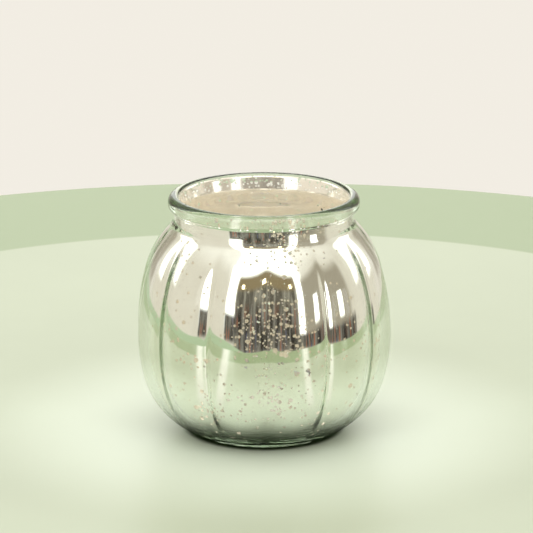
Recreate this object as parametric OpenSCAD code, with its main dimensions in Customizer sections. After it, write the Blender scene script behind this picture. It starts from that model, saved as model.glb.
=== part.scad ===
// Silvered glass tealight holder: a lobed glass jar with a thin mirror lining on its inside,
// and the tealight that stands in it. The jar stands on the plane z = 0 and its axis is Z.

/* [Glass jar] */
// Diameter over the crests of the lobes
body_d = 90; // [88:0.5:92]
// Height from the foot to the top of the lip
jar_h = 84.5; // [84:0.5:90]
// Height of the widest ring
equator_h = 36; // [35:0.5:37]
// Wall thickness of the body at the crests of the lobes
wall = 3; // [2.5:0.1:3.4]
// Thickness of the solid glass base
base_t = 4; // [3.5:0.5:9]
// Radius of the round corner between the floor and the wall inside
floor_r = 8; // [6:0.5:10]
// Radius of the shallow hollow under the foot
push_up_r = 18; // [14:1:20]
// Depth of the hollow under the foot
push_up_t = 1.5; // [0.8:0.1:2.5]

/* [Lobes] */
// Number of lobes around the body
lobes = 12; // [10:1:16]
// Radius of the arc across one lobe at the widest ring
lobe_r = 21; // [19:0.5:26]
// Height over which the creases grow out of the foot
foot_fade = 13; // [8:1:18]
// Height over which the creases die out below the neck
neck_fade = 17; // [10:1:22]

/* [Neck and lip] */
// Outer diameter of the neck
neck_d = 62.4; // [61.5:0.1:63.5]
// Diameter of the bore through the neck
mouth_d = 57; // [56.5:0.1:57.5]
// Depth over which the mouth narrows from the lip down to the bore
flare_h = 5.5; // [4.5:0.5:6]
// Outer diameter of the lip
lip_d = 66.6; // [66:0.1:67.5]
// Height of the lip, down to where its underside meets the neck
lip_h = 6.5; // [5.5:0.1:6.5]
// Radius of the outer edge at the top of the lip
lip_top_r = 2.4; // [2:0.1:2.5]
// Radius of the outer edge at the bottom of the lip
lip_low_r = 1.5; // [1:0.1:1.8]
// Radius of the cove between the neck and the shoulder
cove_r = 2.5; // [2:0.1:3]

/* [Mirror lining] */
// Thickness of the mirror lining
lining_t = 0.15; // [0.1:0.01:0.3]

/* [Tealight] */
// Outer diameter of the aluminium cup at its top
cup_d = 38; // [37:0.5:39.5]
// Height of the cup
cup_h = 16; // [15:0.5:18]
// Sheet thickness of the cup
cup_t = 0.25; // [0.2:0.05:0.4]
// Height of the wax
wax_h = 12; // [9:0.5:12.5]
// Diameter of the wick
wick_d = 1.6; // [1.2:0.1:2]
// Length of the wick above the wax
wick_out = 9; // [6:0.5:12]
// Diameter of the disc of the wick sustainer
sustainer_d = 13; // [11:0.5:15]
// Height of the crimped neck of the sustainer
crimp_h = 3.5; // [2.5:0.5:5]

/* [Hidden] */

$fn = 96;
cut = 1;

body_r = body_d / 2;
neck_r = neck_d / 2;
mouth_r = mouth_d / 2;
lip_r = lip_d / 2;

// The meridian of the body is four arcs that run into each other without a corner.
upper_r = 80;
upper_turn = 15;
shoulder_r = 38.5;
lower_r = 60;
lower_turn = 15.5;
heel_r = 30;

function polar(r, a) = r * [cos(a), sin(a)];

upper_c = [body_r - upper_r, equator_h];
lower_c = [body_r - lower_r, equator_h];
shoulder_c = upper_c + polar(upper_r - shoulder_r, upper_turn);
heel_c = lower_c + polar(lower_r - heel_r, -lower_turn);

// Height at which the shoulder reaches the neck's radius, and the cove that joins them.
neck_z = shoulder_c[1] + shoulder_r * sin(acos((neck_r - shoulder_c[0]) / shoulder_r));
cove_c = [neck_r + cove_r, neck_z + 0.38 * cove_r];
cove_turn = 40;
buried = 1.5;

lip_flat = 0.3;
lip_under_turn = 50;
lip_z = max(jar_h - lip_h, cove_c[1] + lip_flat);

// The mouth widens from the bore up to the round inner edge of the lip.
nose_r = 1.2;
flare_turn = 15;
nose_c = [lip_r - lip_top_r, jar_h - nose_r];
flare_top = nose_c + nose_r * [-cos(flare_turn), sin(flare_turn)];
flare_z = jar_h - flare_h;

// The inner edge where the shoulder runs into the bore of the neck.
throat_r = 8;

// The hollow under the foot is the cap of a large ball.
push_up_ball = (pow(push_up_r, 2) + pow(push_up_t, 2)) / (2 * push_up_t);

// Lobes: the arc across one lobe has its centre this far from the axis.
lobe_off = body_r - lobe_r;
lobe_steps = 6;
around = lobes * lobe_steps;
pitch = 360 / lobes;

// Tealight: the cup's sides lean out, its rim is rolled and its bottom has a raised panel.
cup_lean = 0.5;
rim_roll = 0.5;
panel_r = 14;
panel_up = 0.4;
sheet_t = 0.3;
crimp_t = 0.4;

// Gaps between the pieces that lift apart, and round the wick in the wax.
rest_gap = 0.1;
side_gap = 0.3;
wick_gap = 0.05;

cup_r = cup_d / 2;
cup_z = base_t + lining_t + rest_gap;
wax_z = cup_z + panel_up + cup_t + rest_gap;
wax_r = cup_r - cup_lean - cup_t - side_gap;

function arc(c, r, from, to, steps) =
    [for (i = [0:steps]) c + polar(r, from + (to - from) * i / steps)];

function smooth(x) = let (t = max(0, min(1, x))) t * t * (3 - 2 * t);

// How deep the creases are at height z, as a part of their full depth.
function crease(z) = smooth(z / foot_fade) * smooth((neck_z - z) / neck_fade);

// Radius at an angle from a lobe's crest, as a part of the radius at the crest.
function lobe(p) = (lobe_off * cos(p) + sqrt(pow(lobe_r, 2) - pow(lobe_off * sin(p), 2))) / body_r;

// Outer meridian, from the foot to a point inside the neck.
function outside() =
    let (top_turn = acos((neck_r - buried - shoulder_c[0]) / shoulder_r))
    concat(
        arc(heel_c, heel_r, -asin(heel_c[1] / heel_r), -lower_turn, 8),
        arc(lower_c, lower_r, -lower_turn * 2 / 3, 0, 2),
        arc(upper_c, upper_r, upper_turn / 4, upper_turn, 3),
        arc(shoulder_c, shoulder_r, upper_turn + 4, top_turn, 7));

// Inner meridian, set in from the outer one by the wall and the inset, with a flat floor.
function inside(inset) =
    let (
        in = wall + inset,
        corner_r = floor_r - inset,
        corner_off = heel_r - in - corner_r,
        corner_turn = -asin((heel_c[1] - base_t - floor_r) / corner_off),
        throat_in = throat_r + inset,
        throat_off = shoulder_r - in + throat_in,
        throat_turn = acos((mouth_r + throat_r - shoulder_c[0]) / throat_off))
    concat(
        arc(heel_c + polar(corner_off, corner_turn), corner_r, -90, corner_turn, 5),
        arc(heel_c, heel_r - in, corner_turn, -lower_turn, 4),
        arc(lower_c, lower_r - in, -lower_turn, 0, 3),
        arc(upper_c, upper_r - in, 0, upper_turn, 3),
        arc(shoulder_c, shoulder_r - in, upper_turn, throat_turn, 5),
        arc(shoulder_c + polar(throat_off, throat_turn), throat_in, 180 + throat_turn, 180, 5));

module lobed_skin() {
    rings = outside();
    last = (len(rings) - 1) * around;
    points = [for (ring = rings, i = [0:around - 1])
        let (
            turn = i * 360 / around,
            r = ring[0] * (1 - crease(ring[1]) * (1 - lobe(turn % pitch - pitch / 2))))
        [r * sin(turn), -r * cos(turn), ring[1]]];
    sides = [for (low = [0:around:last - 1], i = [0:around - 1])
        let (
            k = (i + 1) % around,
            high = low + around)
        each [[low + i, high + i, high + k], [low + i, high + k, low + k]]];
    foot = [for (i = [0:around - 1]) i];
    top = [for (i = [around - 1:-1:0]) last + i];
    polyhedron(points, concat(sides, [foot, top]));
}

module neck_and_lip() {
    rotate_extrude()
        polygon(concat(
            [[mouth_r - cut, neck_z - buried], [neck_r - buried, neck_z - 2 * buried]],
            arc(cove_c, cove_r, 180 + cove_turn, 180, 4),
            [[neck_r, lip_z]],
            arc([lip_r - lip_low_r, lip_z + 2 * lip_low_r], lip_low_r, -lip_under_turn, 0, 4),
            arc([lip_r - lip_top_r, jar_h - lip_top_r], lip_top_r, 0, 90, 6),
            [[mouth_r - cut, jar_h]]));
}

module mouth_and_hollow() {
    rotate_extrude()
        polygon(concat(
            [[0, base_t]],
            inside(0),
            [[mouth_r, flare_z]],
            arc(nose_c, nose_r, 180 - flare_turn, 90, 4),
            [[nose_c[0], jar_h + cut], [0, jar_h + cut]]));
}

module glass_jar() {
    color("lightcyan", 0.5)
        difference() {
            union() {
                lobed_skin();
                neck_and_lip();
            }
            mouth_and_hollow();
            translate([0, 0, push_up_t - push_up_ball])
                sphere(r = push_up_ball);
        }
}

module silver_lining() {
    edge_z = flare_top[1];
    color("silver")
        rotate_extrude()
            difference() {
                polygon(concat([[0, base_t]], inside(0), [[mouth_r, flare_z], flare_top, [0, edge_z]]));
                polygon(concat([[0, base_t + lining_t]], inside(lining_t),
                    [[mouth_r - lining_t, flare_z], [flare_top[0] - lining_t, edge_z]],
                    [[flare_top[0] - lining_t, edge_z + cut], [0, edge_z + cut]]));
            }
}

module tealight_cup() {
    foot_r = cup_r - cup_lean;
    color("gainsboro")
        translate([0, 0, cup_z])
            rotate_extrude()
                polygon([
                    [0, panel_up],
                    [panel_r, panel_up],
                    [panel_r + panel_up, 0],
                    [foot_r, 0],
                    [cup_r, cup_h - 2 * rim_roll],
                    [cup_r + rim_roll, cup_h - 2 * rim_roll],
                    [cup_r + rim_roll, cup_h - rim_roll / 2],
                    [cup_r, cup_h],
                    [cup_r - cup_t, cup_h - rim_roll / 2],
                    [foot_r - cup_t, cup_t],
                    [panel_r + panel_up + cup_t, cup_t],
                    [panel_r + cup_t, panel_up + cup_t],
                    [0, panel_up + cup_t]]);
}

module tealight_wax() {
    color("ivory")
        translate([0, 0, wax_z])
            difference() {
                cylinder(h = wax_h, r = wax_r);
                translate([0, 0, -cut])
                    cylinder(h = wax_h + 2 * cut, r = wick_d / 2 + wick_gap);
                translate([0, 0, -cut])
                    cylinder(h = cut + sheet_t + wick_gap, r = sustainer_d / 2 + wick_gap);
                translate([0, 0, -cut])
                    cylinder(h = cut + sheet_t + crimp_h + wick_gap, r = wick_d / 2 + crimp_t + wick_gap);
            }
}

module wick() {
    color("white")
        translate([0, 0, wax_z + sheet_t])
            cylinder(h = wax_h - sheet_t + wick_out, r = wick_d / 2);
}

module wick_sustainer() {
    color("darkgray")
        translate([0, 0, wax_z]) {
            cylinder(h = sheet_t, r = sustainer_d / 2);
            difference() {
                cylinder(h = sheet_t + crimp_h, r = wick_d / 2 + crimp_t);
                translate([0, 0, sheet_t])
                    cylinder(h = crimp_h + cut, r = wick_d / 2);
            }
        }
}

glass_jar();
silver_lining();
tealight_cup();
tealight_wax();
wick();
wick_sustainer();
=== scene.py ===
import math

import bpy
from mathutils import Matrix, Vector


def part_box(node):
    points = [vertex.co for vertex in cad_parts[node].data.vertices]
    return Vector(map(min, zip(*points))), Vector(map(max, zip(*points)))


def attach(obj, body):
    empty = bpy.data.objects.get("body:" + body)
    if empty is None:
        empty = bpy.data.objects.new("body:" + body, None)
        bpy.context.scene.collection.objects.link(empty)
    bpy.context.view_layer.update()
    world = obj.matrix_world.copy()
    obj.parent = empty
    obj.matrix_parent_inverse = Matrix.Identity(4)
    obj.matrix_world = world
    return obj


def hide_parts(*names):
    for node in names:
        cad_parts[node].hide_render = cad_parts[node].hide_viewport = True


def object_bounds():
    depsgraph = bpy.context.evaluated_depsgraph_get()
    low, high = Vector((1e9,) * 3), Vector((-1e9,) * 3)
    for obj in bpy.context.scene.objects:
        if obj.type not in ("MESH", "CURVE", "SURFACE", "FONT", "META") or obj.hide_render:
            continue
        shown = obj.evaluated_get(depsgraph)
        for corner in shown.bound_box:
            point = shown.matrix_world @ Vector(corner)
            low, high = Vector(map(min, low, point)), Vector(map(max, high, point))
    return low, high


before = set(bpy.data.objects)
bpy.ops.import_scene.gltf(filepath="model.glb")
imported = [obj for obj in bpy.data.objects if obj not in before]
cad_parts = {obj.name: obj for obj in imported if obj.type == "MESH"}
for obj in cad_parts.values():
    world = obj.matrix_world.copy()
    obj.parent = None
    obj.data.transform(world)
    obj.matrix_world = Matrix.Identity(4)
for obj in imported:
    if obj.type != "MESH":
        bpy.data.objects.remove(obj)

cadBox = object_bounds()
scene = bpy.context.scene
mm = 0.001


# helpers for node trees
def addNode(tree, kind, inputs=None, **settings):
    node = tree.nodes.new(kind)
    for name, value in settings.items():
        setattr(node, name, value)
    for key, value in (inputs or {}).items():
        feed(tree, node.inputs[key], value)
    return node


def feed(tree, socket, value):
    if isinstance(value, bpy.types.NodeSocket):
        tree.links.new(value, socket)
    else:
        socket.default_value = value


def calc(tree, operation, *values, clamp=False):
    node = addNode(tree, "ShaderNodeMath", operation=operation, use_clamp=clamp)
    for place, value in enumerate(values):
        feed(tree, node.inputs[place], value)
    return node.outputs[0]


def smoothStep(tree, value, low, high, start=0.0, end=1.0):
    node = addNode(tree, "ShaderNodeMapRange", {0: value, 1: low, 2: high, 3: start, 4: end},
                   interpolation_type="SMOOTHSTEP")
    return node.outputs[0]


def mixColor(tree, amount, first, second):
    node = addNode(tree, "ShaderNodeMix", data_type="RGBA")
    feed(tree, node.inputs[0], amount)
    feed(tree, node.inputs[6], first)
    feed(tree, node.inputs[7], second)
    return node.outputs[2]


def noise(tree, vector, scale, detail=2.0, roughness=0.5, w=0.0):
    node = addNode(tree, "ShaderNodeTexNoise", {
        "Vector": vector, "Scale": scale, "Detail": detail, "Roughness": roughness, "W": w},
        noise_dimensions="4D")
    return node.outputs[0]


def objectCoords(tree):
    return addNode(tree, "ShaderNodeTexCoord").outputs["Object"]


def newGroup(name, treeType, sockets):
    tree = bpy.data.node_groups.new(name, treeType)
    for side, socketName, kind, default in sockets:
        socket = tree.interface.new_socket(socketName, in_out=side, socket_type="NodeSocket" + kind)
        if default is not None:
            socket.default_value = default
    return tree, tree.nodes.new("NodeGroupInput"), tree.nodes.new("NodeGroupOutput")


def newMaterial(name):
    material = bpy.data.materials.new(name)
    material.use_nodes = True
    return material, material.node_tree, material.node_tree.nodes["Principled BSDF"]


def setPlain(shader, values):
    for name, value in values.items():
        shader.inputs[name].default_value = value


def axisAzimuth(tree, place):
    # degrees round the axis from the front
    return calc(tree, "DEGREES", calc(tree, "ARCTAN2", place.outputs["X"], calc(
        tree, "MULTIPLY", place.outputs["Y"], -1.0)))


# a profile is a line of points from the axis round to the axis again
def polar(radius, degrees):
    angle = math.radians(degrees)
    return Vector((radius * math.cos(angle), radius * math.sin(angle)))


def arcPoints(centre, radius, start, end, steps):
    return [centre + polar(radius, start + (end - start) * i / steps) for i in range(steps + 1)]


def linePoints(start, end, steps):
    return [start.lerp(end, i / steps) for i in range(steps + 1)]


def ease(x):
    x = min(1.0, max(0.0, x))
    return x * x * (3 - 2 * x)


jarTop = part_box("glass_jar")[1].z
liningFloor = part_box("silver_lining")[0].z

jar = {
    "bodyRadius": 44.92 * mm,      # over the crests of the lobes
    "equatorZ": 36 * mm,
    "upperRadius": 80 * mm,        # the meridian's four arcs, from the equator up and down
    "upperTurn": 15,
    "shoulderRadius": 38.5 * mm,
    "lowerRadius": 60 * mm,
    "lowerTurn": 15.5,
    "heelRadius": 30 * mm,
    "wall": 3 * mm,
    "cornerRadius": 8 * mm,
    "neckRadius": 31.2 * mm,
    "mouthRadius": 28.5 * mm,
    "lipRadius": 33.3 * mm,
    "lipTopRound": 2.4 * mm,
    "lipLowRound": 1.5 * mm,
    "lipHeight": 6.5 * mm,
    "noseRadius": 1.2 * mm,        # the mouth's round inner edge, and the flare below it
    "flareTurn": 15,
    "flareDepth": 5.5 * mm,
    "coveRadius": 2.5 * mm,
    "throatRadius": 8 * mm,
    "pushUpRadius": 18 * mm,
    "pushUpDepth": 1.5 * mm,
    "lobes": 12,
    "lobeRadius": 21 * mm,
    "samplesPerLobe": 32,
    "creaseSoftness": 0.22,        # outside
    "innerSoftness": 0.2,          # the inside follows the lobes with rounder creases
    "innerFluting": 0.95,
    "footFade": 13 * mm,
    "neckFade": 17 * mm,
    "wobble": 0.05 * mm,
    "wobbleScale": 75,
    "stillRadius": 10 * mm,        # the wobble dies out from here to the axis
    "liningGap": 0.04 * mm,
    "liningThickness": 0.06 * mm,
}


def jarCentres():
    equator = jar["equatorZ"]
    upper = Vector((jar["bodyRadius"] - jar["upperRadius"], equator))
    lower = Vector((jar["bodyRadius"] - jar["lowerRadius"], equator))
    shoulder = upper + polar(jar["upperRadius"] - jar["shoulderRadius"], jar["upperTurn"])
    heel = lower + polar(jar["lowerRadius"] - jar["heelRadius"], -jar["lowerTurn"])
    return upper, lower, shoulder, heel


def creaseDepth(z):
    shoulder = jarCentres()[2]
    rise = math.acos((jar["neckRadius"] - shoulder.x) / jar["shoulderRadius"])
    neckZ = shoulder.y + jar["shoulderRadius"] * math.sin(rise)
    return ease(z / jar["footFade"]) * ease((neckZ - z) / jar["neckFade"])


def outerMeridian():
    upper, lower, shoulder, heel = jarCentres()
    heelTurn = math.degrees(math.asin(heel.y / jar["heelRadius"]))
    coveReach = jar["shoulderRadius"] + jar["coveRadius"]
    coveX = jar["neckRadius"] + jar["coveRadius"] - shoulder.x
    coveTurn = math.degrees(math.acos(coveX / coveReach))
    cove = shoulder + polar(coveReach, coveTurn)
    push = (jar["pushUpRadius"] ** 2 + jar["pushUpDepth"] ** 2) / (2 * jar["pushUpDepth"])
    pushTurn = math.degrees(math.asin(jar["pushUpRadius"] / push))
    points = arcPoints(Vector((0, jar["pushUpDepth"] - push)), push, 90, 90 - pushTurn, 10)
    points += arcPoints(heel, jar["heelRadius"], -heelTurn, -jar["lowerTurn"], 26)
    points += arcPoints(lower, jar["lowerRadius"], -jar["lowerTurn"], 0, 10)[1:]
    points += arcPoints(upper, jar["upperRadius"], 0, jar["upperTurn"], 12)[1:]
    points += arcPoints(shoulder, jar["shoulderRadius"], jar["upperTurn"], coveTurn, 20)[1:]
    points += arcPoints(cove, jar["coveRadius"], 180 + coveTurn, 180, 7)[1:]
    return points


def lipMeridian():
    lipZ = jarTop - jar["lipHeight"]
    lowCentre = Vector((jar["lipRadius"] - jar["lipLowRound"], lipZ + 2 * jar["lipLowRound"]))
    highCentre = Vector((jar["lipRadius"] - jar["lipTopRound"], jarTop - jar["lipTopRound"]))
    points = [Vector((jar["neckRadius"], lipZ))]
    points += arcPoints(lowCentre, jar["lipLowRound"], -50, 0, 6)
    points += arcPoints(highCentre, jar["lipTopRound"], 0, 90, 10)
    points += arcPoints(noseCentre(), jar["noseRadius"], 90, 180 - jar["flareTurn"], 7)[1:]
    points += flareMeridian(0.0)[1:]
    return points


def noseCentre():
    return Vector((jar["lipRadius"] - jar["lipTopRound"], jarTop - jar["noseRadius"]))


def flareMeridian(inset):
    # from the mouth's round edge down to the bore
    top = noseCentre() + polar(jar["noseRadius"], 180 - jar["flareTurn"])
    bottom = Vector((jar["mouthRadius"], jarTop - jar["flareDepth"]))
    aside = Vector((inset, 0))
    return linePoints(top - aside, bottom - aside, 6)


def innerMeridian(inset, fineness=1.0):
    # from the bore of the neck down to the middle of the floor
    upper, lower, shoulder, heel = jarCentres()
    wall = jar["wall"] + inset
    floorZ = liningFloor + inset
    corner = jar["cornerRadius"] - inset
    cornerReach = jar["heelRadius"] - wall - corner
    cornerTurn = -math.degrees(math.asin((heel.y - floorZ - corner) / cornerReach))
    throat = jar["throatRadius"] + inset
    throatReach = jar["shoulderRadius"] - wall + throat
    throatX = jar["mouthRadius"] + jar["throatRadius"] - shoulder.x
    throatTurn = math.degrees(math.acos(throatX / throatReach))
    arcs = [
        (shoulder + polar(throatReach, throatTurn), throat, 180, 180 + throatTurn, 8),
        (shoulder, jar["shoulderRadius"] - wall, throatTurn, jar["upperTurn"], 16),
        (upper, jar["upperRadius"] - wall, jar["upperTurn"], 0, 10),
        (lower, jar["lowerRadius"] - wall, 0, -jar["lowerTurn"], 8),
        (heel, jar["heelRadius"] - wall, -jar["lowerTurn"], cornerTurn, 14),
        (heel + polar(cornerReach, cornerTurn), corner, cornerTurn, -90, 9),
    ]
    points = []
    for centre, radius, start, end, steps in arcs:
        arc = arcPoints(centre, radius, start, end, round(steps * fineness))
        points += arc[1:] if points else arc
    points += [Vector((points[-1].x * k, floorZ)) for k in (0.66, 0.33, 0.0)]
    return points


def profileRow(points, fluting=0.0, softness=0.05, wobble=1.0, reverse=0.0):
    # each point carries how deep the lobes cut there, how round the creases are, and its side
    return [(p.x, p.y, fluting * creaseDepth(p.y), softness,
             wobble * min(1.0, p.x / jar["stillRadius"]), reverse) for p in points]


def profileObject(name, rows):
    mesh = bpy.data.meshes.new(name)
    mesh.from_pydata([(row[0], 0, row[1]) for row in rows],
                     [(i, i + 1) for i in range(len(rows) - 1)], [])
    for place, attribute in enumerate(("fluting", "softness", "wobbly", "reverse"), start=2):
        data = mesh.attributes.new(attribute, "FLOAT", "POINT").data
        data.foreach_set("value", [row[place] for row in rows])
    obj = bpy.data.objects.new(name, mesh)
    scene.collection.objects.link(obj)
    return obj


def onProfile(tree, profile, ring, value, kind):
    # reads a value at the profile's point that a ring of the grid belongs to
    node = addNode(tree, "GeometryNodeSampleIndex", data_type=kind, domain="POINT")
    feed(tree, node.inputs["Geometry"], profile)
    feed(tree, node.inputs["Value"], value)
    feed(tree, node.inputs["Index"], ring)
    return node.outputs[0]


def lobeColumns(tree, given, column):
    # where in its lobe a column is: 0 on the crest, 1 in the crease, with columns gathered there
    turns = calc(tree, "MULTIPLY", calc(tree, "ADD", column, 0.5), given["Lobes"])
    turns = calc(tree, "DIVIDE", calc(tree, "ROUND", calc(
        tree, "MULTIPLY", turns, given["Samples Per Lobe"])), given["Samples Per Lobe"])
    lobe = calc(tree, "FLOOR", turns)
    offset = calc(tree, "SUBTRACT", calc(tree, "FRACT", turns), 0.5)
    spread = calc(tree, "POWER", calc(tree, "SUBTRACT", 1.0, calc(
        tree, "MULTIPLY", calc(tree, "ABSOLUTE", offset), 2.0)), 1.5)
    across = calc(tree, "SUBTRACT", 1.0, spread)
    signed = calc(tree, "MULTIPLY", calc(tree, "MULTIPLY", calc(tree, "SIGN", offset), across), 0.5)
    angle = calc(tree, "MULTIPLY", calc(tree, "DIVIDE", calc(
        tree, "ADD", calc(tree, "ADD", lobe, 0.5), signed), given["Lobes"]), 2 * math.pi)
    return angle, across


def creaseDrop(tree, across, softness):
    # the drop from the crest: two neighbouring arcs that meet with a soft corner
    def falling(value):
        square = calc(tree, "MULTIPLY", value, value)
        return calc(tree, "EXPONENT", calc(
            tree, "DIVIDE", calc(tree, "MULTIPLY", square, -1.0), softness))
    both = calc(tree, "ADD", falling(across), falling(calc(tree, "SUBTRACT", 2.0, across)))
    return calc(tree, "MULTIPLY", calc(tree, "LOGARITHM", both, math.e), calc(
        tree, "MULTIPLY", softness, -1.0))


def aroundAxis(tree, reach, angle, height):
    return addNode(tree, "ShaderNodeCombineXYZ", {
        "X": calc(tree, "MULTIPLY", reach, calc(tree, "SINE", angle)),
        "Y": calc(tree, "MULTIPLY", reach, calc(tree, "MULTIPLY", calc(tree, "COSINE", angle), -1.0)),
        "Z": height}).outputs[0]


def paintedSides(tree, geometry, given):
    # one material for the face of the piece and one for its reverse
    smooth = addNode(tree, "GeometryNodeSetShadeSmooth", {"Geometry": geometry})
    real = addNode(tree, "GeometryNodeRealizeInstances", {"Geometry": smooth.outputs[0]})
    painted = addNode(tree, "GeometryNodeSetMaterial", {
        "Geometry": real.outputs[0], "Material": given["Material"]})
    side = addNode(tree, "GeometryNodeInputNamedAttribute", {"Name": "reverse"}, data_type="FLOAT")
    painted = addNode(tree, "GeometryNodeSetMaterial", {
        "Geometry": painted.outputs[0], "Material": given["Reverse Material"],
        "Selection": calc(tree, "GREATER_THAN", side.outputs[0], 0.5)})
    return painted.outputs[0]


def turnedLobesTree():
    # turns a profile round the axis and presses lobes into it
    tree, start, end = newGroup("turnedLobes", "GeometryNodeTree", [
        ("INPUT", "Profile", "Geometry", None),
        ("INPUT", "Lobes", "Int", 12),
        ("INPUT", "Samples Per Lobe", "Int", 32),
        ("INPUT", "Crease Depth", "Float", 0.04),
        ("INPUT", "Wobble", "Float", 0.0),
        ("INPUT", "Wobble Scale", "Float", 80.0),
        ("INPUT", "Seed", "Float", 0.0),
        ("INPUT", "Material", "Material", None),
        ("INPUT", "Reverse Material", "Material", None),
        ("OUTPUT", "Geometry", "Geometry", None)])
    given = start.outputs
    count = addNode(tree, "GeometryNodeAttributeDomainSize", {0: given["Profile"]}, component="MESH")
    rings = count.outputs["Point Count"]
    columns = calc(tree, "MULTIPLY", given["Lobes"], given["Samples Per Lobe"])
    grid = addNode(tree, "GeometryNodeMeshGrid", {
        "Size X": 1.0, "Size Y": 1.0,
        "Vertices X": calc(tree, "ADD", columns, 1.0), "Vertices Y": rings})
    position = addNode(tree, "GeometryNodeInputPosition").outputs[0]
    place = addNode(tree, "ShaderNodeSeparateXYZ", {0: position})
    ring = calc(tree, "ROUND", calc(tree, "MULTIPLY", calc(
        tree, "ADD", place.outputs["Y"], 0.5), calc(tree, "SUBTRACT", rings, 1.0)))

    def attribute(name):
        named = addNode(tree, "GeometryNodeInputNamedAttribute", {"Name": name}, data_type="FLOAT")
        return onProfile(tree, given["Profile"], ring, named.outputs[0], "FLOAT")

    point = addNode(tree, "ShaderNodeSeparateXYZ", {
        0: onProfile(tree, given["Profile"], ring, position, "FLOAT_VECTOR")})
    angle, across = lobeColumns(tree, given, place.outputs["X"])
    drop = creaseDrop(tree, across, attribute("softness"))
    keep = calc(tree, "SUBTRACT", 1.0, calc(tree, "MULTIPLY", calc(
        tree, "MULTIPLY", drop, attribute("fluting")), given["Crease Depth"]))
    radius = calc(tree, "MULTIPLY", point.outputs["X"], keep)
    uneven = calc(tree, "SUBTRACT", noise(
        tree, aroundAxis(tree, radius, angle, point.outputs["Z"]),
        given["Wobble Scale"], 1.0, 0.4, given["Seed"]), 0.5)
    uneven = calc(tree, "MULTIPLY", calc(tree, "MULTIPLY", uneven, 4.0), calc(
        tree, "MULTIPLY", given["Wobble"], attribute("wobbly")))
    radius = calc(tree, "ADD", radius, uneven)
    marked = addNode(tree, "GeometryNodeStoreNamedAttribute", {
        "Geometry": grid.outputs["Mesh"], "Name": "reverse", "Value": attribute("reverse")},
        data_type="FLOAT", domain="POINT")
    placed = addNode(tree, "GeometryNodeSetPosition", {
        "Geometry": marked.outputs[0],
        "Position": aroundAxis(tree, radius, angle, point.outputs["Z"])})
    closed = addNode(tree, "GeometryNodeMergeByDistance", {
        "Geometry": placed.outputs[0], "Distance": 1e-6})
    feed(tree, end.inputs[0], paintedSides(tree, closed.outputs[0], given))
    return tree


def finishedMesh(name, source, tree, values):
    # runs the tree on the source object and keeps only the plain mesh that it makes
    modifier = source.modifiers.new("shape", "NODES")
    modifier.node_group = tree
    for item in tree.interface.items_tree:
        if item.item_type == "SOCKET" and item.in_out == "INPUT" and item.name in values:
            modifier[item.identifier] = values[item.name]
    graph = bpy.context.evaluated_depsgraph_get()
    mesh = bpy.data.meshes.new_from_object(source.evaluated_get(graph))
    mesh.name = name
    if mesh.materials[0] is None:      # the grid's own empty slot
        mesh.materials.pop(index=0)
    obj = bpy.data.objects.new(name, mesh)
    scene.collection.objects.link(obj)
    source.modifiers.clear()
    bpy.data.objects.remove(source)
    return obj


fleckShape = {
    "raggedScale": 2200.0,
    "crowdedFrom": 0.32,           # the slow noise's values between which flecks gather
    "crowdedTo": 0.68,
    "coarserCells": 0.6,           # the second size of cells, as a share of the first
    "smallest": 0.3,
    "softEdge": 0.8,
}

mottleShape = {
    "fineScale": 6.3,
    "blendFrom": 0.3,
    "blendTo": 0.7,
    "fineHeight": 0.3,
}


def speckleGroup():
    # flecks where a thin coat is missing: cells of two sizes, crowded where a slow noise is high
    tree, start, end = newGroup("speckles", "ShaderNodeTree", [
        ("INPUT", "Vector", "Vector", None),
        ("INPUT", "Cells", "Float", 700.0),
        ("INPUT", "Fleck Size", "Float", 0.45),
        ("INPUT", "Crowding", "Float", 0.5),
        ("INPUT", "Extra Crowding", "Float", 0.0),
        ("INPUT", "Crowding Scale", "Float", 45.0),
        ("INPUT", "Raggedness", "Float", 0.0003),
        ("OUTPUT", "Mask", "Float", None)])
    given = start.outputs
    ragged = addNode(tree, "ShaderNodeTexNoise", {
        "Vector": given["Vector"], "Scale": fleckShape["raggedScale"], "Detail": 1.0})
    push = addNode(tree, "ShaderNodeVectorMath", {0: ragged.outputs["Color"], 1: (0.5, 0.5, 0.5)},
                   operation="SUBTRACT")
    push = addNode(tree, "ShaderNodeVectorMath", {0: push.outputs[0], "Scale": given["Raggedness"]},
                   operation="SCALE")
    where = addNode(tree, "ShaderNodeVectorMath", {0: given["Vector"], 1: push.outputs[0]}).outputs[0]
    crowd = smoothStep(tree, noise(tree, given["Vector"], given["Crowding Scale"], 2.0, 0.6),
                       fleckShape["crowdedFrom"], fleckShape["crowdedTo"])
    crowd = calc(tree, "MULTIPLY_ADD", crowd, given["Crowding"], given["Extra Crowding"])
    masks, smallest = [], fleckShape["smallest"]
    for coarser in (1.0, fleckShape["coarserCells"]):
        cells = addNode(tree, "ShaderNodeTexVoronoi", {
            "Vector": where, "Scale": calc(tree, "MULTIPLY", given["Cells"], coarser)},
            voronoi_dimensions="3D", feature="F1")
        dice = addNode(tree, "ShaderNodeSeparateColor", {0: cells.outputs["Color"]})
        present = calc(tree, "GREATER_THAN", calc(tree, "MULTIPLY", crowd, coarser), dice.outputs[0])
        size = calc(tree, "MULTIPLY", given["Fleck Size"], calc(
            tree, "MULTIPLY_ADD", dice.outputs[1], 1 - smallest, smallest))
        inside = smoothStep(tree, cells.outputs["Distance"], size, calc(
            tree, "MULTIPLY", size, fleckShape["softEdge"]))
        masks.append(calc(tree, "MULTIPLY", inside, present))
    feed(tree, end.inputs["Mask"], calc(tree, "MAXIMUM", masks[0], masks[1]))
    return tree


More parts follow.
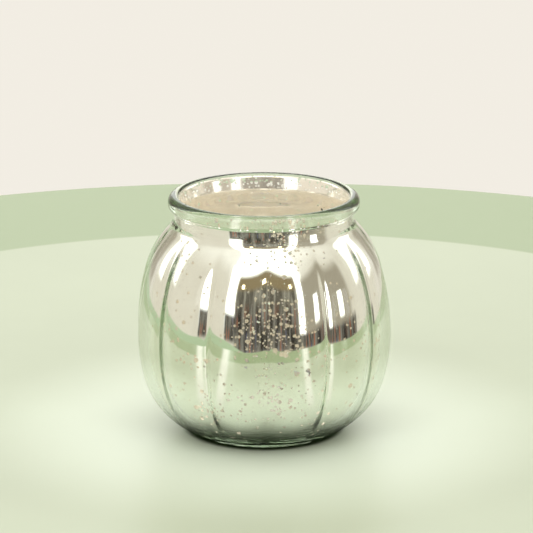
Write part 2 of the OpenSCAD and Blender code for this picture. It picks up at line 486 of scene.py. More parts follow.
def mottleGroup():
    # slow and fine unevenness of a colour, a roughness and a height
    tree, start, end = newGroup("mottle", "ShaderNodeTree", [
        ("INPUT", "Vector", "Vector", None),
        ("INPUT", "Scale", "Float", 200.0),
        ("INPUT", "Color A", "Color", None),
        ("INPUT", "Color B", "Color", None),
        ("INPUT", "Roughness", "Float", 0.3),
        ("INPUT", "Roughness Change", "Float", 0.1),
        ("OUTPUT", "Color", "Color", None),
        ("OUTPUT", "Roughness", "Float", None),
        ("OUTPUT", "Height", "Float", None)])
    given = start.outputs
    slow = noise(tree, given["Vector"], given["Scale"], 3.0, 0.55)
    fine = noise(tree, given["Vector"], calc(
        tree, "MULTIPLY", given["Scale"], mottleShape["fineScale"]), 2.0, 0.6)
    blend = smoothStep(tree, slow, mottleShape["blendFrom"], mottleShape["blendTo"])
    feed(tree, end.inputs["Color"], mixColor(tree, blend, given["Color A"], given["Color B"]))
    feed(tree, end.inputs["Roughness"], calc(tree, "MULTIPLY_ADD", calc(
        tree, "SUBTRACT", fine, 0.5), given["Roughness Change"], given["Roughness"]))
    feed(tree, end.inputs["Height"], calc(
        tree, "MULTIPLY_ADD", fine, mottleShape["fineHeight"], slow))
    return tree


def useGroup(tree, group, values):
    node = addNode(tree, "ShaderNodeGroup", node_tree=group)
    for name, value in values.items():
        feed(tree, node.inputs[name], value)
    return node


def mottled(tree, coords, scale, first, second, roughness, change):
    return useGroup(tree, mottle, {
        "Vector": coords, "Scale": scale, "Color A": first, "Color B": second,
        "Roughness": roughness, "Roughness Change": change})


def feedSurface(tree, shader, color, roughness):
    feed(tree, shader.inputs["Base Color"], color)
    feed(tree, shader.inputs["Roughness"], roughness)


def addBump(tree, shader, height, strength, distance):
    bump = addNode(tree, "ShaderNodeBump", {
        "Height": height, "Strength": strength, "Distance": distance})
    feed(tree, shader.inputs["Normal"], bump.outputs[0])


speckles = speckleGroup()
mottle = mottleGroup()


glassLook = {
    "tint": (0.985, 1.0, 0.985, 1),
    "ior": 1.5,
    "depthColor": (0.70, 0.84, 0.64, 1),
    "depthDensity": 19,
    "ripple": 0.02 * mm,
    "rippleScale": 160,
    "footLines": 0.1 * mm,         # fine level lines left in the glass near the foot
    "footLinesTop": 13 * mm,
    "footLinesScale": 1500,
}


def clearGlass():
    material, tree, shader = newMaterial("paleGreenGlass")
    coords = objectCoords(tree)
    setPlain(shader, {"Base Color": glassLook["tint"], "Roughness": 0.0, "IOR": glassLook["ior"],
                      "Transmission Weight": 1.0})
    height = addNode(tree, "ShaderNodeSeparateXYZ", {0: coords}).outputs["Z"]
    level = addNode(tree, "ShaderNodeVectorMath", {0: coords, 1: (0.05, 0.05, 1)},
                    operation="MULTIPLY")
    lines = noise(tree, level.outputs[0], glassLook["footLinesScale"], 2.0, 0.6)
    lines = calc(tree, "MULTIPLY", lines, smoothStep(
        tree, height, glassLook["footLinesTop"], 0.3 * glassLook["footLinesTop"], 0.0,
        glassLook["footLines"] / glassLook["ripple"]))
    ripple = noise(tree, coords, glassLook["rippleScale"], 1.0, 0.4)
    addBump(tree, shader, calc(tree, "ADD", lines, ripple), 1.0, glassLook["ripple"])
    depth = addNode(tree, "ShaderNodeVolumeAbsorption", {
        "Color": glassLook["depthColor"], "Density": glassLook["depthDensity"]})
    feed(tree, tree.nodes["Material Output"].inputs["Volume"], depth.outputs[0])
    return material


silverLook = {
    "color": (0.97, 0.96, 0.93, 1),
    "deepColor": (0.92, 0.90, 0.86, 1),
    "mottleScale": 90,
    "roughness": 0.035,
    "roughnessChange": 0.05,
    "reverseColor": (0.92, 0.88, 0.79, 1),
    "reversePale": (0.97, 0.94, 0.87, 1),
    "reverseMetal": 0.75,
    "reverseMottleScale": 160,
    "reverseRoughness": 0.12,
    "reverseRoughnessChange": 0.12,
    "reverseRelief": 0.04 * mm,
    "paintedLeakColor": (1.0, 0.94, 0.80, 1),     # painted light: a faint glow that stands in for daylight coming through the thin coat
    "paintedLeak": 0.07,
    "cells": 900,
    "fleckSize": 0.55,
    "crowding": 0.2,
    # where the coat is thinnest: middle and reach in millimetres, and how much more it is flecked
    "thinPatches": [
        ((0, -43, 46), 18, 0.8),
        ((8, -42, 24), 22, 0.32),
        ((-20, -32, 16), 8, 0.8),
        ((8, -32, 75), 12, 0.7),
        ((38, -18, 30), 14, 0.35),
    ],
    "rimWear": 0.7,                # how much of it is missing at the rim, and where that starts
    "wornFrom": 77.5 * mm,
    "wornTo": 82 * mm,
}


def missingSilver(tree, coords):
    extra = 0.0
    for middle, reach, more in silverLook["thinPatches"]:
        away = addNode(tree, "ShaderNodeVectorMath", {0: coords, 1: Vector(middle) * mm},
                       operation="DISTANCE")
        extra = calc(tree, "ADD", extra, smoothStep(
            tree, away.outputs["Value"], reach * mm, 0.3 * reach * mm, 0.0, more))
    height = addNode(tree, "ShaderNodeSeparateXYZ", {0: coords}).outputs["Z"]
    extra = calc(tree, "ADD", extra, smoothStep(
        tree, height, silverLook["wornFrom"], silverLook["wornTo"], 0.0, silverLook["rimWear"]))
    mask = useGroup(tree, speckles, {
        "Vector": coords, "Cells": silverLook["cells"], "Fleck Size": silverLook["fleckSize"],
        "Crowding": silverLook["crowding"], "Extra Crowding": extra}).outputs["Mask"]
    return calc(tree, "SUBTRACT", 1.0, mask)


def mirrorSilver():
    material, tree, shader = newMaterial("mirrorSilver")
    coords = objectCoords(tree)
    uneven = mottled(tree, coords, silverLook["mottleScale"], silverLook["color"],
                     silverLook["deepColor"], silverLook["roughness"], silverLook["roughnessChange"])
    feedSurface(tree, shader, uneven.outputs["Color"], uneven.outputs["Roughness"])
    shader.inputs["Metallic"].default_value = 1.0
    feed(tree, shader.inputs["Alpha"], missingSilver(tree, coords))
    return material


def silverReverse():
    material, tree, shader = newMaterial("silverReverse")
    coords = objectCoords(tree)
    uneven = mottled(tree, coords, silverLook["reverseMottleScale"], silverLook["reverseColor"],
                     silverLook["reversePale"], silverLook["reverseRoughness"],
                     silverLook["reverseRoughnessChange"])
    feedSurface(tree, shader, uneven.outputs["Color"], uneven.outputs["Roughness"])
    # painted light: a faint glow of the reverse stands in for daylight through the thin coat
    setPlain(shader, {
        "Metallic": silverLook["reverseMetal"], "Emission Color": silverLook["paintedLeakColor"],
        "Emission Strength": silverLook["paintedLeak"]})
    feed(tree, shader.inputs["Alpha"], missingSilver(tree, coords))
    addBump(tree, shader, uneven.outputs["Height"], 0.3, silverLook["reverseRelief"])
    return material


lobesTree = turnedLobesTree()


def lobeSettings(material, reverse=None):
    return {"Lobes": jar["lobes"], "Samples Per Lobe": jar["samplesPerLobe"],
            "Crease Depth": 1 - creaseRadius() / jar["bodyRadius"], "Wobble": jar["wobble"],
            "Wobble Scale": float(jar["wobbleScale"]), "Material": material,
            "Reverse Material": reverse or material}


def creaseRadius():
    # radius in a crease at the widest ring, where two neighbouring lobe arcs meet
    offset = jar["bodyRadius"] - jar["lobeRadius"]
    half = math.pi / jar["lobes"]
    side = offset * math.sin(half)
    return offset * math.cos(half) + math.sqrt(jar["lobeRadius"] ** 2 - side ** 2)


def glassJar():
    rows = profileRow(outerMeridian(), 1.0, jar["creaseSoftness"])
    rows += profileRow(lipMeridian(), 0.0, jar["innerSoftness"])
    rows += profileRow(innerMeridian(0.0), jar["innerFluting"], jar["innerSoftness"])
    return finishedMesh("glassJar", profileObject("jarProfile", rows), lobesTree,
                        lobeSettings(clearGlass()))


def silverLining():
    gap, thick = jar["liningGap"], jar["liningThickness"]
    front = flareMeridian(gap) + innerMeridian(gap, 0.8)
    back = flareMeridian(gap + thick) + innerMeridian(gap + thick, 0.8)
    rows = profileRow(front[::-1], jar["innerFluting"], jar["innerSoftness"])
    rows += profileRow(back, jar["innerFluting"], jar["innerSoftness"], reverse=1.0)
    return finishedMesh("silverLining", profileObject("liningProfile", rows), lobesTree,
                        lobeSettings(mirrorSilver(), silverReverse()))


jarPiece = glassJar()
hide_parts("glass_jar")
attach(jarPiece, "holder")
print("glass jar:", len(jarPiece.data.polygons), "faces")

liningPiece = silverLining()
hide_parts("silver_lining")
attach(liningPiece, "holder")
print("silver lining:", len(liningPiece.data.polygons), "faces")


cupLow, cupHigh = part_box("tealight_cup")
waxLow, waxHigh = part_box("tealight_wax")
wickLow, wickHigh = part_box("wick")
sustainerLow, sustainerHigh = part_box("wick_sustainer")


def plainRow(points, fluting=0.0, softness=0.9, wobble=0.0, reverse=0.0):
    return [(p.x, p.y, fluting, softness, wobble, reverse) for p in points]


def corners(*pairs):
    return [Vector(pair) for pair in pairs]


drawnSheet = {
    "mottleScale": 220,
    "roughnessChange": 0.14,
    "scratchScale": 2600,
    "scratchRoughness": 0.12,
    "scratchHeight": 0.6,
    "relief": 0.03 * mm,
}


def drawnMetal(name, look, roughness):
    # thin sheet drawn upwards: fine upright scratches over a slow mottle
    material, tree, shader = newMaterial(name)
    coords = objectCoords(tree)
    drawn = addNode(tree, "ShaderNodeVectorMath", {0: coords, 1: (1, 1, 0.05)}, operation="MULTIPLY")
    uneven = mottled(tree, coords, drawnSheet["mottleScale"], look["color"], look["dullColor"],
                     roughness, drawnSheet["roughnessChange"])
    scratches = noise(tree, drawn.outputs[0], drawnSheet["scratchScale"], 2.0, 0.6)
    feedSurface(tree, shader, uneven.outputs["Color"], calc(
        tree, "MULTIPLY_ADD", scratches, drawnSheet["scratchRoughness"], uneven.outputs["Roughness"]))
    shader.inputs["Metallic"].default_value = 1.0
    height = calc(
        tree, "MULTIPLY_ADD", scratches, drawnSheet["scratchHeight"], uneven.outputs["Height"])
    addBump(tree, shader, height, 0.5, drawnSheet["relief"])
    return material


cup = {
    "footRadius": 18.5 * mm,
    "topRadius": 19 * mm,
    "beadRadius": 0.42 * mm,       # the rolled rim
    "sheet": 0.25 * mm,
    "cornerRadius": 0.7 * mm,
    "panelRadius": 14 * mm,
    "panelRise": 0.4 * mm,
    "ribs": 60,
    "samplesPerRib": 8,
    "ribDepth": 0.016,
    "ribSoftness": 0.9,
    "color": (0.80, 0.80, 0.79, 1),
    "dullColor": (0.70, 0.70, 0.70, 1),
    "roughness": 0.2,
    "insideRoughness": 0.26,
}


def tealightCup():
    foot, top, sheet = cup["footRadius"], cup["topRadius"], cup["sheet"]
    low, bead, corner = cupLow.z, cup["beadRadius"], cup["cornerRadius"]
    panel, rise = cup["panelRadius"], cup["panelRise"]
    beadCentre = Vector((cupHigh.x - bead, cupHigh.z - bead))
    wallTop = Vector((top, beadCentre.y - bead))
    wallFoot = Vector((foot, low + corner))
    outer = corners((0, low + rise), (0.6 * panel, low + rise), (panel, low + rise),
                    (panel + rise, low), (foot - corner, low))
    outer += arcPoints(Vector((foot - corner, low + corner)), corner, -80, -10, 5)
    ribbed = linePoints(wallFoot.lerp(wallTop, 0.05), wallFoot.lerp(wallTop, 0.95), 12)
    rolled = [wallTop] + arcPoints(beadCentre, bead, -80, 200, 14)
    inside = [p - Vector((sheet, 0)) for p in ribbed[::-1]]
    bottom = arcPoints(Vector((foot - corner, low + corner)), corner - sheet, -10, -80, 5)
    bottom += corners((panel + rise + sheet, low + sheet), (panel + sheet, low + rise + sheet),
                      (0.6 * panel, low + rise + sheet), (0, low + rise + sheet))
    rows = plainRow(outer) + plainRow(ribbed[:1]) + plainRow(ribbed[1:-1], 1.0, cup["ribSoftness"])
    rows += plainRow(ribbed[-1:] + rolled + inside[:1])
    rows += plainRow(inside[1:-1], 1.0, cup["ribSoftness"], reverse=1.0)
    rows += plainRow(inside[-1:] + bottom, reverse=1.0)
    return finishedMesh("tealightCup", profileObject("cupProfile", rows), lobesTree, {
        "Lobes": cup["ribs"], "Samples Per Lobe": cup["samplesPerRib"],
        "Crease Depth": cup["ribDepth"],
        "Material": drawnMetal("drawnAluminium", cup, cup["roughness"]),
        "Reverse Material": drawnMetal("drawnAluminiumInside", cup, cup["insideRoughness"])})


wax = {
    "boreRadius": 0.85 * mm,
    "edgeRise": 0.35 * mm,         # how far the wax creeps up the cup and the wick
    "edgeReach": 1.1 * mm,
    "sustainerGap": 0.05 * mm,
    "sides": 12,
    "samplesPerSide": 8,
    "corner": 0.4 * mm,
    "unevenness": 0.05 * mm,
    "unevenScale": 120.0,
    "seed": 4.0,
    "color": (0.93, 0.90, 0.80, 1),
    "palerColor": (0.97, 0.95, 0.88, 1),
    "mottleScale": 260,
    "roughness": 0.42,
    "roughnessChange": 0.2,
    "relief": 0.1 * mm,
    "ior": 1.44,
    "glow": 0.5,                   # how much light travels inside the wax, how far and in what colour
    "glowDepth": 3 * mm,
    "glowColor": (1.0, 0.7, 0.4),
}


def ivoryWax():
    material, tree, shader = newMaterial("ivoryWax")
    coords = objectCoords(tree)
    uneven = mottled(tree, coords, wax["mottleScale"], wax["color"], wax["palerColor"],
                     wax["roughness"], wax["roughnessChange"])
    feedSurface(tree, shader, uneven.outputs["Color"], uneven.outputs["Roughness"])
    setPlain(shader, {"Subsurface Weight": wax["glow"], "Subsurface Radius": wax["glowColor"],
                      "Subsurface Scale": wax["glowDepth"], "IOR": wax["ior"]})
    addBump(tree, shader, uneven.outputs["Height"], 0.35, wax["relief"])
    return material


def tealightWax():
    low, high, side = waxLow.z, waxHigh.z, waxHigh.x
    bore, gap, rise, reach = wax["boreRadius"], wax["sustainerGap"], wax["edgeRise"], wax["edgeReach"]
    disc = sustainer["discRadius"] + gap
    recess = low + sustainer["sheet"] + gap
    neck = sustainer["neckRadius"] + gap
    neckTop = sustainerHigh.z + gap
    across = [Vector((bore + (side - bore) * i / 24, high - rise)) for i in range(24, -1, -1)]
    for p in across:
        near = min(side - p.x, p.x - bore) / reach
        p.y += rise * math.exp(-near * near * 2)
    still = corners((bore, neckTop), (neck, neckTop), (neck, recess), (disc, recess), (disc, low))
    outer = corners((side - wax["corner"], low), (side, low + wax["corner"]),
                    (side, 0.5 * (low + high)))
    rows = plainRow(still) + plainRow(outer) + plainRow(across[:2])
    rows += plainRow(across[2:-2], wobble=1.0) + plainRow(across[-2:]) + plainRow(still[:1])
    material = ivoryWax()
    return finishedMesh("tealightWax", profileObject("waxProfile", rows), lobesTree, {
        "Lobes": wax["sides"], "Samples Per Lobe": wax["samplesPerSide"], "Crease Depth": 0.0,
        "Wobble": wax["unevenness"], "Wobble Scale": wax["unevenScale"], "Seed": wax["seed"],
        "Material": material, "Reverse Material": material})


sustainer = {
    "discRadius": 6.5 * mm,
    "sheet": 0.3 * mm,
    "neckRadius": 1.2 * mm,
    "boreRadius": 0.8 * mm,
    "crimps": 4,
    "crimpDepth": 0.13,
    "crimpSoftness": 0.5,
    "samplesPerCrimp": 20,
    "fold": 0.4 * mm,              # round corner between the disc and the neck
    "color": (0.62, 0.61, 0.58, 1),
    "dullColor": (0.50, 0.49, 0.46, 1),
    "roughness": 0.3,
}


def wickSustainer():
    low, sheet, disc = sustainerLow.z, sustainer["sheet"], sustainer["discRadius"]
    neck, bore, high = sustainer["neckRadius"], sustainer["boreRadius"], sustainerHigh.z
    plate, fold = low + sheet, sustainer["fold"]
    lipRound = (neck - bore) / 2
    edge = arcPoints(Vector((disc - sheet / 2, low + sheet / 2)), sheet / 2, -90, 90, 6)
    foot = arcPoints(Vector((neck + fold, plate + fold)), fold, -90, -180, 5)
    crimped = linePoints(foot[-1] + Vector((0, 0.3 * mm)), Vector((neck, high - fold)), 6)
    lip = arcPoints(Vector(((neck + bore) / 2, high - lipRound)), lipRound, 0, 180, 8)
    rows = plainRow(corners((0, low), (0.5 * disc, low)) + edge + foot)
    rows += plainRow(crimped, 1.0, sustainer["crimpSoftness"]) + plainRow(lip)
    rows += plainRow(corners((bore, plate + 0.5 * mm), (bore, plate), (0, plate)))
    metal = drawnMetal("platedSteel", sustainer, sustainer["roughness"])
    return finishedMesh("wickSustainer", profileObject("sustainerProfile", rows), lobesTree, {
        "Lobes": sustainer["crimps"], "Samples Per Lobe": sustainer["samplesPerCrimp"],
        "Crease Depth": sustainer["crimpDepth"],
        "Material": metal, "Reverse Material": metal})


wick = {
    "strands": 3,
    "turns": 6.5,
    "pointsPerTurn": 14,
    "sidewaysReach": 0.42 * mm,
    "depthReach": 0.20 * mm,
    "strandRadius": 0.36 * mm,
    "lean": 0.9 * mm,              # how far the free end hangs over
    "color": (0.90, 0.87, 0.79, 1),
    "shadeColor": (0.76, 0.72, 0.62, 1),
    "mottleScale": 900,
    "fibreScale": 9000,
    "roughness": 0.85,
    "roughnessChange": 0.1,
    "sheen": 0.3,
    "relief": 0.04 * mm,
}


def cottonWick():
    material, tree, shader = newMaterial("cottonWick")
    coords = objectCoords(tree)
    along = addNode(tree, "ShaderNodeVectorMath", {0: coords, 1: (1, 1, 0.25)}, operation="MULTIPLY")
    fibres = noise(tree, along.outputs[0], wick["fibreScale"], 2.0, 0.6)
    uneven = mottled(tree, coords, wick["mottleScale"], wick["color"], wick["shadeColor"],
                     wick["roughness"], wick["roughnessChange"])
    color = mixColor(tree, smoothStep(tree, fibres, 0.35, 0.65), wick["shadeColor"],
                     uneven.outputs["Color"])
    feedSurface(tree, shader, color, uneven.outputs["Roughness"])
    shader.inputs["Sheen Weight"].default_value = wick["sheen"]
    addBump(tree, shader, fibres, 0.6, wick["relief"])
    return material


def braidTree():
    # strands that cross over and under each other along a path
    tree, start, end = newGroup("braidAlongPath", "GeometryNodeTree", [
        ("INPUT", "Path", "Geometry", None),
        ("INPUT", "Strands", "Int", 3),
        ("INPUT", "Turns", "Float", 6.0),
        ("INPUT", "Points", "Int", 80),
        ("INPUT", "Sideways Reach", "Float", 0.001),
        ("INPUT", "Depth Reach", "Float", 0.0005),
        ("INPUT", "Strand Radius", "Float", 0.0004),
        ("INPUT", "Material", "Material", None),
        ("OUTPUT", "Geometry", "Geometry", None)])
    given = start.outputs
    curve = addNode(tree, "GeometryNodeMeshToCurve", {"Mesh": given["Path"]})
    even = addNode(tree, "GeometryNodeResampleCurve", {
        "Curve": curve.outputs[0], "Count": given["Points"]})
    copies = addNode(tree, "GeometryNodeDuplicateElements", {
        "Geometry": even.outputs[0], "Amount": given["Strands"]}, domain="SPLINE")
    along = addNode(tree, "GeometryNodeSplineParameter").outputs["Factor"]
    share = calc(tree, "DIVIDE", copies.outputs["Duplicate Index"], given["Strands"])
    captured = addNode(tree, "GeometryNodeStoreNamedAttribute", {
        "Geometry": copies.outputs[0], "Name": "share", "Value": share},
        data_type="FLOAT", domain="POINT")
    named = addNode(tree, "GeometryNodeInputNamedAttribute", {"Name": "share"}, data_type="FLOAT")
    phase = calc(tree, "MULTIPLY", calc(
        tree, "MULTIPLY_ADD", along, given["Turns"], named.outputs[0]), 2 * math.pi)
    offset = addNode(tree, "ShaderNodeCombineXYZ", {
        "X": calc(tree, "MULTIPLY", given["Sideways Reach"], calc(tree, "SINE", phase)),
        "Y": calc(tree, "MULTIPLY", given["Depth Reach"], calc(
            tree, "SINE", calc(tree, "MULTIPLY", phase, 2.0)))})
    moved = addNode(tree, "GeometryNodeSetPosition", {
        "Geometry": captured.outputs[0], "Offset": offset.outputs[0]})
    ring = addNode(tree, "GeometryNodeCurvePrimitiveCircle", {
        "Resolution": 10, "Radius": given["Strand Radius"]}, mode="RADIUS")
    tube = addNode(tree, "GeometryNodeCurveToMesh", {
        "Curve": moved.outputs[0], "Profile Curve": ring.outputs["Curve"], "Fill Caps": True})
    smooth = addNode(tree, "GeometryNodeSetShadeSmooth", {"Geometry": tube.outputs[0]})
    real = addNode(tree, "GeometryNodeRealizeInstances", {"Geometry": smooth.outputs[0]})
    painted = addNode(tree, "GeometryNodeSetMaterial", {
        "Geometry": real.outputs[0], "Material": given["Material"]})
    feed(tree, end.inputs[0], painted.outputs[0])
    return tree


def braidedWick():
    # the path runs straight up through the wax and then leans over
    steps = 24
    margin = wick["strandRadius"]
    low, high = wickLow.z + margin, wickHigh.z - margin
    points = []
    for i in range(steps + 1):
        z = low + (high - low) * i / steps
        free = max(0.0, (z - waxHigh.z) / (high - waxHigh.z))
        points.append((wick["lean"] * free * free, -0.4 * wick["lean"] * free ** 3, z))
    mesh = bpy.data.meshes.new("wickPath")
    mesh.from_pydata(points, [(i, i + 1) for i in range(steps)], [])
    path = bpy.data.objects.new("wickPath", mesh)
    scene.collection.objects.link(path)
    return finishedMesh("braidedWick", path, braidTree(), {
        "Strands": wick["strands"], "Turns": wick["turns"],
        "Points": round(wick["turns"] * wick["pointsPerTurn"]),
        "Sideways Reach": wick["sidewaysReach"], "Depth Reach": wick["depthReach"],
        "Strand Radius": wick["strandRadius"], "Material": cottonWick()})


cupPiece = tealightCup()
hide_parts("tealight_cup")
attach(cupPiece, "cup")
print("tealight cup:", len(cupPiece.data.polygons), "faces")

waxPiece = tealightWax()
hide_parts("tealight_wax")
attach(waxPiece, "candle")
print("wax:", len(waxPiece.data.polygons), "faces")

wickPiece = braidedWick()
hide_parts("wick")
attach(wickPiece, "candle")
print("wick:", len(wickPiece.data.polygons), "faces")

sustainerPiece = wickSustainer()
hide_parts("wick_sustainer")
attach(sustainerPiece, "candle")
print("sustainer:", len(sustainerPiece.data.polygons), "faces")


studio = {
    "floorRadius": 296 * mm,
    "floorBack": 56 * mm,          # how far the floor's middle lies behind the jar
    "floorColor": (0.545, 0.61, 0.475, 1),
    # painted shade: a darker outer ring stands in for the shaded inner side of a tray's rim
    "paintedRimShadeColor": (0.365, 0.455, 0.285, 1),
    "beyondColor": (0.50, 0.61, 0.40, 1),
    "paintedRimShadeWidth": 88 * mm,
    "floorRoughness": 0.36,
    "floorGloss": 0.12,
    # painted shadow: a dark green laid on the floor round the jar's foot
    "paintedShadowColor": (0.045, 0.075, 0.028, 1),
    "paintedShadowInner": 26 * mm,       # painted shadow under the jar's foot, which dies out between these
    "paintedShadowOuter": 41 * mm,
    "paintedShadowSeen": 12 * mm,        # how much less of the painted shadow shows beside the foot than in the mirror
    "glowColor": (0.80, 0.89, 0.76, 1),
    "paintedLightInner": 45 * mm,          # painted light round the jar, standing in for the light that it throws on the floor
    "paintedLightOuter": 115 * mm,
    "paintedSheenColor": (0.95, 0.97, 0.92, 1),
    "paintedSheens": [(-41, 9), (36, 7)],    # painted sheen of the windows on the floor: azimuth and half width
    "paintedSheenStrength": 0.75,
    "paintedSheenFade": 20 * mm,
    "mottleScale": 14,
    "mottleShade": 0.97,
    "mottleRoughness": 0.03,
    "paintedRimShadeSoftness": 3 * mm,
    "wall": (0.89, 0.85, 0.77, 1),
    "roomWall": (0.81, 0.75, 0.64, 1),
    "ceiling": (1.15, 1.1, 1.0, 1),
    "horizon": -11.5,              # the pale floor goes on below this elevation, in degrees
    "leftLift": 5.0,               # its rim stands higher to the left, between two azimuths
    "leftLiftFrom": -8,
    "leftLiftTo": -50,
}

# light runs to and fro between the silver and the glass in front of it
lightPaths = {"all": 44, "glossy": 32, "diffuse": 10}

# what stands round the jar, which shows only in the mirror and the glass
room = {
    "window": (2.6, 2.6, 2.5, 1),
    "skylight": (1.9, 1.9, 1.8, 1),
    "lamp": (7, 6, 3.6, 1),
    "furniture": (0.42, 0.37, 0.29, 1),
    "darkLow": (0.04, 0.035, 0.03, 1),
    "greyLow": (0.28, 0.26, 0.22, 1),
    "redLow": (0.36, 0.15, 0.09, 1),
    "blueLow": (0.14, 0.15, 0.26, 1),
    "darkHigh": (0.13, 0.115, 0.09, 1),
    "greyHigh": (0.40, 0.37, 0.30, 1),
    "brownTop": (0.30, 0.23, 0.13, 1),
}

# middle azimuth and elevation, half width and half height and softness in degrees, and what it shows;
# azimuth 0 is the front, and a later panel covers an earlier one
panels = [
    (0, 56, 46, 20, 4.0, "skylight"),
    (-40, 24, 9, 26, 2.5, "window"),
    (64, 14, 24, 21, 5.0, "furniture"),
    (37, 24, 6, 28, 1.5, "window"),
    (-39, 0, 10.5, 6.5, 2.0, "bands"),
    (62, -7, 34, 4, 1.5, "bands"),
    (0, 14.5, 31, 27.5, 3.5, "bands"),
    (67, 7, 5, 7, 1.5, "window"),
    (-19, 31, 2.2, 2, 0.6, "lamp"),
    (20, 31, 2.2, 2, 0.6, "lamp"),
    (120, 28, 9, 22, 3.0, "skylight"),
    (-120, 28, 9, 22, 3.0, "skylight"),
    (150, 8, 10, 14, 4.0, "furniture"),
    (-150, 8, 10, 14, 4.0, "furniture"),
    (180, 24, 12, 20, 3.0, "skylight"),
]

view = {
    "distance": 1.3,
    "azimuth": -2.0,
    "elevation": 16.07,
    "lookZ": 58.3 * mm,
    "lookSide": 0.9 * mm,
    "lens": 250.9,
}


def vectorLength(tree, vector):
    node = addNode(tree, "ShaderNodeVectorMath", {0: vector}, operation="LENGTH")
    return node.outputs["Value"]


def paintedWindowSheen(tree, coords):
    # painted sheen: soft window light that runs over the floor towards the jar, which shows only in
    # the mirror
    place = addNode(tree, "ShaderNodeSeparateXYZ", {0: coords})
    azimuth = axisAzimuth(tree, place)
    light = 0.0
    for middle, halfWidth in studio["paintedSheens"]:
        aside = calc(tree, "ABSOLUTE", calc(tree, "SUBTRACT", azimuth, middle))
        light = calc(tree, "MAXIMUM", light, smoothStep(
            tree, aside, halfWidth, 0.2 * halfWidth, 0.0, studio["paintedSheenStrength"]))
    inner = studio["paintedLightInner"]
    return calc(tree, "MULTIPLY", light, smoothStep(
        tree, vectorLength(tree, coords), inner, inner + studio["paintedSheenFade"]))


def floorMaterial():
    material, tree, shader = newMaterial("mintFloor")
    coords = objectCoords(tree)
    centred = addNode(tree, "ShaderNodeVectorMath", {0: coords, 1: (0, -studio["floorBack"], 0)})
    # painted shade on the floor's outer ring, where a tray's rim would be shaded
    inner = studio["floorRadius"] - studio["paintedRimShadeWidth"]
    paintedRimShade = smoothStep(tree, vectorLength(tree, centred.outputs[0]), inner,
                        inner + studio["paintedRimShadeSoftness"])
    shade = tuple(studio["mottleShade"] * c for c in studio["floorColor"][:3]) + (1,)
    uneven = mottled(tree, coords, studio["mottleScale"], studio["floorColor"], shade,
                     studio["floorRoughness"], studio["mottleRoughness"])
    color = mixColor(tree, paintedRimShade, uneven.outputs["Color"], studio["paintedRimShadeColor"])
    nearby = vectorLength(tree, coords)
    # painted light: the floor turns paler towards the jar
    glow = smoothStep(tree, nearby, studio["paintedLightOuter"], studio["paintedLightInner"])
    color = mixColor(tree, glow, color, studio["glowColor"])
    seen = addNode(tree, "ShaderNodeLightPath").outputs["Is Camera Ray"]
    # painted sheen of the windows, left out where the camera sees the floor straight
    color = mixColor(tree, calc(tree, "MULTIPLY", paintedWindowSheen(tree, coords), calc(
        tree, "SUBTRACT", 1.0, seen)), color, studio["paintedSheenColor"])
    # painted shadow round the jar's foot, narrower where the camera sees the floor straight
    outer = calc(tree, "MULTIPLY_ADD", seen, -studio["paintedShadowSeen"], studio["paintedShadowOuter"])
    paintedShadow = smoothStep(tree, nearby, studio["paintedShadowInner"], outer)
    color = mixColor(tree, paintedShadow, studio["paintedShadowColor"], color)
    feedSurface(tree, shader, color, uneven.outputs["Roughness"])
    shader.inputs["Specular IOR Level"].default_value = studio["floorGloss"]
    return material


def roundFloor():
    sides = 192
    middle = Vector((0, studio["floorBack"], 0))
    turns = [2 * math.pi * i / sides for i in range(sides)]
    ring = [middle + studio["floorRadius"] * Vector((math.cos(a), math.sin(a), 0)) for a in turns]
    mesh = bpy.data.meshes.new("roundFloor")
    mesh.from_pydata(ring, [], [range(sides)])
    mesh.materials.append(floorMaterial())
    obj = bpy.data.objects.new("roundFloor", mesh)
    scene.collection.objects.link(obj)
    return obj


def panelMask(tree, azimuth, elevation, panel):
    middleAz, middleEl, halfWidth, halfHeight, soft = panel[:5]
    aside = calc(tree, "WRAP", calc(tree, "SUBTRACT", azimuth, middleAz), 180, -180)
    side = calc(tree, "ABSOLUTE", aside)
    rise = calc(tree, "ABSOLUTE", calc(tree, "SUBTRACT", elevation, middleEl))
    return calc(tree, "MULTIPLY",
                smoothStep(tree, side, halfWidth + soft, halfWidth - soft),
                smoothStep(tree, rise, halfHeight + soft, halfHeight - soft))


def darkBands(tree, azimuth, elevation):
    # upright bands like those of a furnished room, greyer and then browner towards the top
    def bands(scale, seed):
        line = addNode(tree, "ShaderNodeCombineXYZ", {
            "X": calc(tree, "MULTIPLY", azimuth, scale),
            "Y": calc(tree, "MULTIPLY", elevation, scale * 0.2), "Z": seed})
        return noise(tree, line.outputs[0], 1.0, 2.0, 0.6)
    tone = smoothStep(tree, bands(0.16, 3.0), 0.38, 0.66)
    warm = smoothStep(tree, bands(0.24, 9.0), 0.56, 0.64)
    cool = smoothStep(tree, bands(0.19, 21.0), 0.60, 0.68)
    low = mixColor(tree, tone, room["darkLow"], room["greyLow"])
    low = mixColor(tree, warm, low, room["redLow"])
    low = mixColor(tree, cool, low, room["blueLow"])
    high = mixColor(tree, tone, room["darkHigh"], room["greyHigh"])
    color = mixColor(tree, smoothStep(tree, elevation, 4, 16), low, high)
    return mixColor(tree, smoothStep(tree, elevation, 24, 30), color, room["brownTop"])


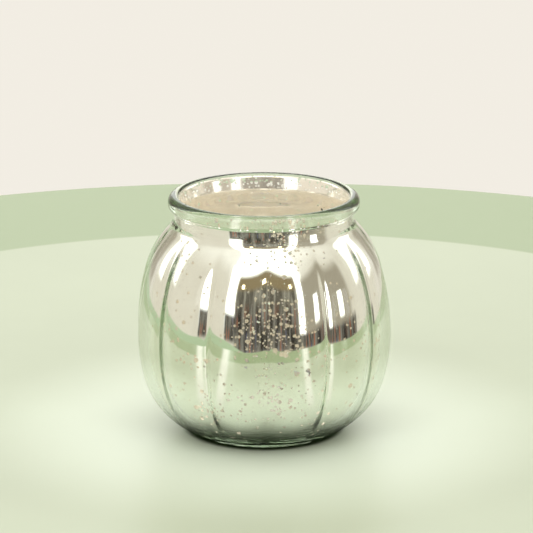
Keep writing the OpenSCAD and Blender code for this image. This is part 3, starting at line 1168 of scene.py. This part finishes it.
def studioWorld():
    world = bpy.data.worlds.new("studio")
    scene.world = world
    world.use_nodes = True
    tree = world.node_tree
    direction = addNode(tree, "ShaderNodeTexCoord").outputs["Generated"]
    split = addNode(tree, "ShaderNodeSeparateXYZ", {0: direction})
    azimuth = axisAzimuth(tree, split)
    elevation = calc(tree, "DEGREES", calc(tree, "ARCSINE", split.outputs["Z"]))
    color = mixColor(tree, smoothStep(tree, elevation, 30, 60), studio["roomWall"], studio["ceiling"])
    dark = darkBands(tree, azimuth, elevation)
    for panel in panels:
        paint = dark if panel[5] == "bands" else room[panel[5]]
        color = mixColor(tree, panelMask(tree, azimuth, elevation, panel), color, paint)
    left = smoothStep(tree, azimuth, studio["leftLiftFrom"], studio["leftLiftTo"])
    horizon = calc(tree, "MULTIPLY_ADD", left, studio["leftLift"], studio["horizon"])
    below = smoothStep(tree, calc(tree, "SUBTRACT", elevation, horizon), 0.4, -0.4)
    color = mixColor(tree, below, color, studio["beyondColor"])
    seen = addNode(tree, "ShaderNodeLightPath").outputs["Is Camera Ray"]
    color = mixColor(tree, seen, color, studio["wall"])
    feed(tree, tree.nodes["Background"].inputs["Color"], color)


def placeCamera():
    camera = bpy.data.objects.new("camera", bpy.data.cameras.new("camera"))
    scene.collection.objects.link(camera)
    turn, rise = math.radians(view["azimuth"]), math.radians(view["elevation"])
    back = Vector((math.sin(turn) * math.cos(rise), -math.cos(turn) * math.cos(rise), math.sin(rise)))
    side = Vector((math.cos(turn), math.sin(turn), 0))
    middle = Vector((0, 0, (cadBox[0][2] + cadBox[1][2]) / 2))
    camera.location = middle + back * view["distance"]
    look = Vector((0, 0, view["lookZ"])) + side * view["lookSide"]
    camera.rotation_euler = (look - camera.location).to_track_quat("-Z", "Y").to_euler()
    camera.data.lens = view["lens"]
    camera.data.clip_start = 0.01
    scene.camera = camera


floor = roundFloor()
studioWorld()
placeCamera()
scene.view_settings.view_transform = "Standard"
scene.cycles.max_bounces = lightPaths["all"]
scene.cycles.glossy_bounces = lightPaths["glossy"]
scene.cycles.diffuse_bounces = lightPaths["diffuse"]
scene.cycles.transmission_bounces = lightPaths["all"]
scene.cycles.transparent_max_bounces = lightPaths["all"]
print("studio ready")
